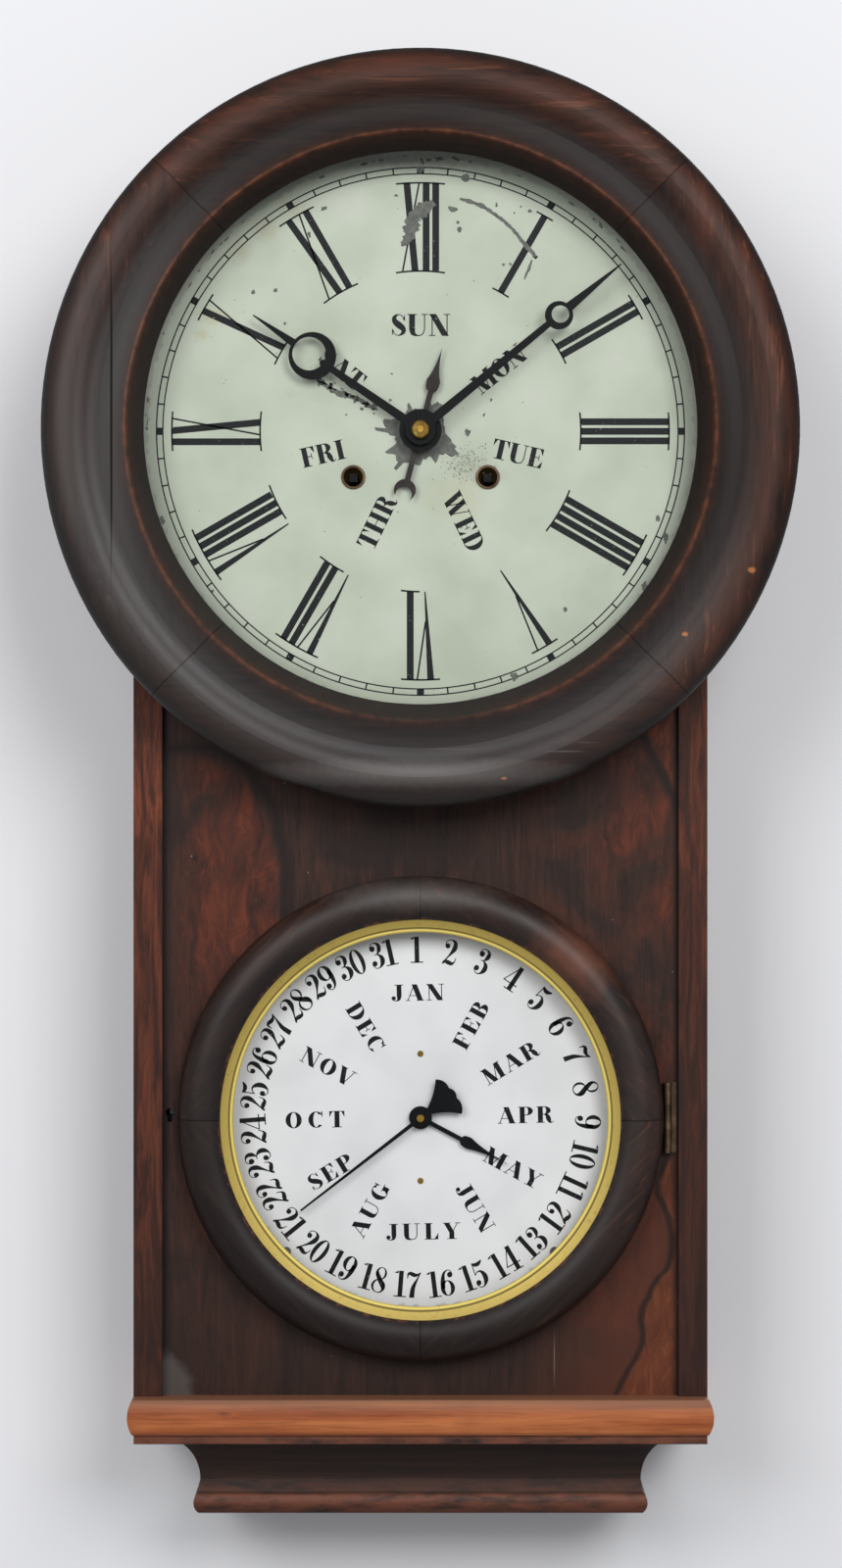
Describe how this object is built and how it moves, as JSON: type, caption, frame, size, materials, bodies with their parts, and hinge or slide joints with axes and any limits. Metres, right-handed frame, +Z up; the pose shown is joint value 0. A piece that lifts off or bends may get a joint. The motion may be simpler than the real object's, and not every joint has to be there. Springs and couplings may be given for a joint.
{
  "type": "calendar wall clock",
  "caption": "Pendulum wall clock: a round glazed time dial with a weekday hand over a box, whose round hinged door covers a calendar dial with date and month hands.",
  "frame": {"origin": "middle of the hanger's nail hole, at the wall face", "axes": "+Z up, +Y into the wall, +X to the right as seen from the room; the dials face -Y"},
  "size_m": [0.4046, 0.1404, 0.7918],
  "materials": {
    "dark_moulding": "dark stained and varnished turned wood, worn to red on the edges",
    "veneer": "figured reddish-brown veneer under old varnish",
    "case_wood": "reddish stained softwood boards",
    "bottom_wood": "light brown stained wood with a rounded nose",
    "inner_wood": "plain unfinished softwood",
    "time_dial_paint": "aged pale green-grey paint on zinc, flaked",
    "calendar_dial_paint": "cool white paint with printed figures",
    "brass": "lacquered sheet and turned brass",
    "gilt_brass": "bright spun brass",
    "old_brass": "tarnished brass",
    "steel": "drawn and turned steel",
    "black_steel": "blackened thin steel",
    "iron": "black cast iron",
    "glass": "clear flat window glass"
  },
  "bodies": {
    "case": {"back_board": "inner_wood", "side_boards": "case_wood", "top_board": "case_wood", "bottom_board": "bottom_wood", "base_mouldings": "dark_moulding", "front_panel": "veneer", "head_frame": "inner_wood", "movement_rails": "inner_wood", "time_dial": "time_dial_paint", "winding_grommets": "old_brass", "calendar_dial": "calendar_dial_paint", "calendar_plate": "brass", "hanger_plate": "old_brass", "wood_screws": "steel", "hinge_case_leaves": "brass", "lock_case": "iron", "gong_coil": "steel", "gong_stand": "iron", "front_plate": "brass", "back_plate": "brass", "mainsprings": "steel"},
    "head_door": {"head_ring": "dark_moulding", "head_glass": "glass", "head_hinge_leaf": "brass"},
    "calendar_door": {"calendar_ring": "dark_moulding", "calendar_bezel": "gilt_brass", "calendar_glass": "glass", "calendar_hinge_leaf": "brass", "calendar_catch": "steel"},
    "lock_bolt": {"lock_bolt": "steel"},
    "minute": {"centre_wheel": "brass", "minute_hand": "black_steel", "hand_nut": "brass"},
    "hour": {"hour_wheel": "brass", "hour_hand": "black_steel"},
    "weekday": {"weekday_wheel": "brass", "weekday_hand": "black_steel"},
    "pendulum": {"pendulum_rod": "steel", "pendulum_bob": "brass"},
    "date": {"date_wheel": "brass", "date_hand": "black_steel"},
    "month": {"month_wheel": "brass", "month_hand": "black_steel"},
    "minute_wheel": {"minute_wheel": "brass"},
    "day_wheel": {"day_wheel": "brass"},
    "intermediate_wheel": {"intermediate_wheel": "brass"},
    "time_great_wheel": {"time_great_wheel": "brass"},
    "third_wheel": {"third_wheel": "brass"},
    "escape_wheel": {"escape_wheel": "brass"},
    "time_winding_arbor": {"time_winding_arbor": "steel"},
    "strike_great_wheel": {"strike_great_wheel": "brass"},
    "strike_winding_arbor": {"strike_winding_arbor": "steel"},
    "pin_wheel": {"pin_wheel": "brass"},
    "warning_wheel": {"warning_wheel": "brass"},
    "fly": {"fly": "brass"},
    "hammer": {"hammer": "steel"},
    "verge": {"verge": "steel"},
    "calendar_idler": {"calendar_idler": "brass"},
    "trip_lever": {"trip_lever": "steel"},
    "calendar_rod": {"calendar_rod": "steel"}
  },
  "joints": [
    {"name": "head_door_hinge", "type": "hinge", "parent": "case", "child": "head_door", "pos_m": [0.1999, -0.1032, -0.14], "axis": [0, 0, 1], "range_deg": [0, 120]},
    {"name": "calendar_door_hinge", "type": "hinge", "parent": "case", "child": "calendar_door", "pos_m": [0.1339, -0.093, -0.511], "axis": [0, 0, 1], "range_deg": [0, 90]},
    {"name": "lock_slide", "type": "slide", "parent": "case", "child": "lock_bolt", "axis": [1, 0, 0], "range_m": [0, 0.005]},
    {"name": "minute_turn", "type": "hinge", "parent": "case", "child": "minute", "pos_m": [0, 0, -0.14], "axis": [0, 1, 0], "continuous": true},
    {"name": "hour_turn", "type": "hinge", "parent": "case", "child": "hour", "pos_m": [0, 0, -0.14], "axis": [0, 1, 0], "continuous": true},
    {"name": "weekday_turn", "type": "hinge", "parent": "case", "child": "weekday", "pos_m": [0, 0, -0.14], "axis": [0, 1, 0], "continuous": true},
    {"name": "minute_wheel_turn", "type": "hinge", "parent": "case", "child": "minute_wheel", "pos_m": [-0.016, 0, -0.14], "axis": [0, 1, 0], "continuous": true},
    {"name": "day_wheel_turn", "type": "hinge", "parent": "case", "child": "day_wheel", "pos_m": [0.02, 0, -0.14], "axis": [0, 1, 0], "continuous": true},
    {"name": "intermediate_turn", "type": "hinge", "parent": "case", "child": "intermediate_wheel", "pos_m": [0.02392, 0, -0.12747], "axis": [0, 1, 0], "continuous": true},
    {"name": "time_great_turn", "type": "hinge", "parent": "case", "child": "time_great_wheel", "pos_m": [0.0362, 0, -0.1647], "axis": [0, 1, 0], "continuous": true},
    {"name": "third_turn", "type": "hinge", "parent": "case", "child": "third_wheel", "pos_m": [-0.00859, 0, -0.11652], "axis": [0, 1, 0], "continuous": true},
    {"name": "escape_turn", "type": "hinge", "parent": "case", "child": "escape_wheel", "pos_m": [0, 0, -0.096], "axis": [0, 1, 0], "continuous": true},
    {"name": "time_winding_turn", "type": "hinge", "parent": "case", "child": "time_winding_arbor", "pos_m": [0.0362, 0, -0.1647], "axis": [0, 1, 0], "continuous": true},
    {"name": "pin_wheel_turn", "type": "hinge", "parent": "case", "child": "pin_wheel", "pos_m": [-0.0362, 0, -0.1255], "axis": [0, 1, 0], "continuous": true},
    {"name": "strike_great_turn", "type": "hinge", "parent": "case", "child": "strike_great_wheel", "pos_m": [-0.0362, 0, -0.1647], "axis": [0, 1, 0], "continuous": true},
    {"name": "warning_turn", "type": "hinge", "parent": "case", "child": "warning_wheel", "pos_m": [-0.0362, 0, -0.0991], "axis": [0, 1, 0], "continuous": true},
    {"name": "fly_turn", "type": "hinge", "parent": "case", "child": "fly", "pos_m": [-0.03273, 0, -0.0794], "axis": [0, 1, 0], "continuous": true},
    {"name": "strike_winding_turn", "type": "hinge", "parent": "case", "child": "strike_winding_arbor", "pos_m": [-0.0362, 0, -0.1647], "axis": [0, 1, 0], "continuous": true},
    {"name": "hammer_lift", "type": "hinge", "parent": "case", "child": "hammer", "pos_m": [-0.058, 0, -0.11], "axis": [0, -1, 0], "range_deg": [0, 8], "stiffness_Nm_per_rad": 0.02, "springref_deg": -2.86},
    {"name": "pendulum_swing", "type": "hinge", "parent": "case", "child": "pendulum", "pos_m": [0, 0, -0.06], "axis": [0, 1, 0], "range_deg": [-3, 3]},
    {"name": "verge_rock", "type": "hinge", "parent": "case", "child": "verge", "pos_m": [0, 0, -0.072], "axis": [0, 1, 0], "range_deg": [-3.7, 3.7]},
    {"name": "date_turn", "type": "hinge", "parent": "case", "child": "date", "pos_m": [0, 0, -0.511], "axis": [0, 1, 0], "continuous": true},
    {"name": "month_turn", "type": "hinge", "parent": "case", "child": "month", "pos_m": [0, 0, -0.511], "axis": [0, 1, 0], "continuous": true},
    {"name": "calendar_idler_turn", "type": "hinge", "parent": "case", "child": "calendar_idler", "pos_m": [0, 0, -0.495], "axis": [0, 1, 0], "continuous": true},
    {"name": "rod_lift", "type": "slide", "parent": "case", "child": "calendar_rod", "axis": [0, 0, 1], "range_m": [0, 0.004]},
    {"name": "trip_lever_rock", "type": "hinge", "parent": "case", "child": "trip_lever", "pos_m": [0.058, 0, -0.132], "axis": [0, 1, 0], "range_deg": [0, 14.41]}
  ],
  "couplings": [
    {"joint": "hour_turn", "follows": "minute_turn", "ratio": 0.083333},
    {"joint": "weekday_turn", "follows": "minute_turn", "ratio": 0.0059524},
    {"joint": "minute_wheel_turn", "follows": "minute_turn", "ratio": -0.25},
    {"joint": "day_wheel_turn", "follows": "minute_turn", "ratio": -0.041667},
    {"joint": "intermediate_turn", "follows": "minute_turn", "ratio": -0.15385},
    {"joint": "time_great_turn", "follows": "minute_turn", "ratio": 0.025641},
    {"joint": "third_turn", "follows": "minute_turn", "ratio": -9},
    {"joint": "escape_turn", "follows": "minute_turn", "ratio": 71.1},
    {"joint": "strike_great_turn", "follows": "pin_wheel_turn", "ratio": -0.16667},
    {"joint": "warning_turn", "follows": "pin_wheel_turn", "ratio": -7.8},
    {"joint": "fly_turn", "follows": "pin_wheel_turn", "ratio": 54.6},
    {"joint": "verge_rock", "follows": "pendulum_swing", "ratio": 1.2264},
    {"joint": "month_turn", "follows": "date_turn", "ratio": 0.083333},
    {"joint": "calendar_idler_turn", "follows": "date_turn", "ratio": -0.25},
    {"joint": "trip_lever_rock", "follows": "rod_lift", "rad_per_m": 62.664}
  ]
}
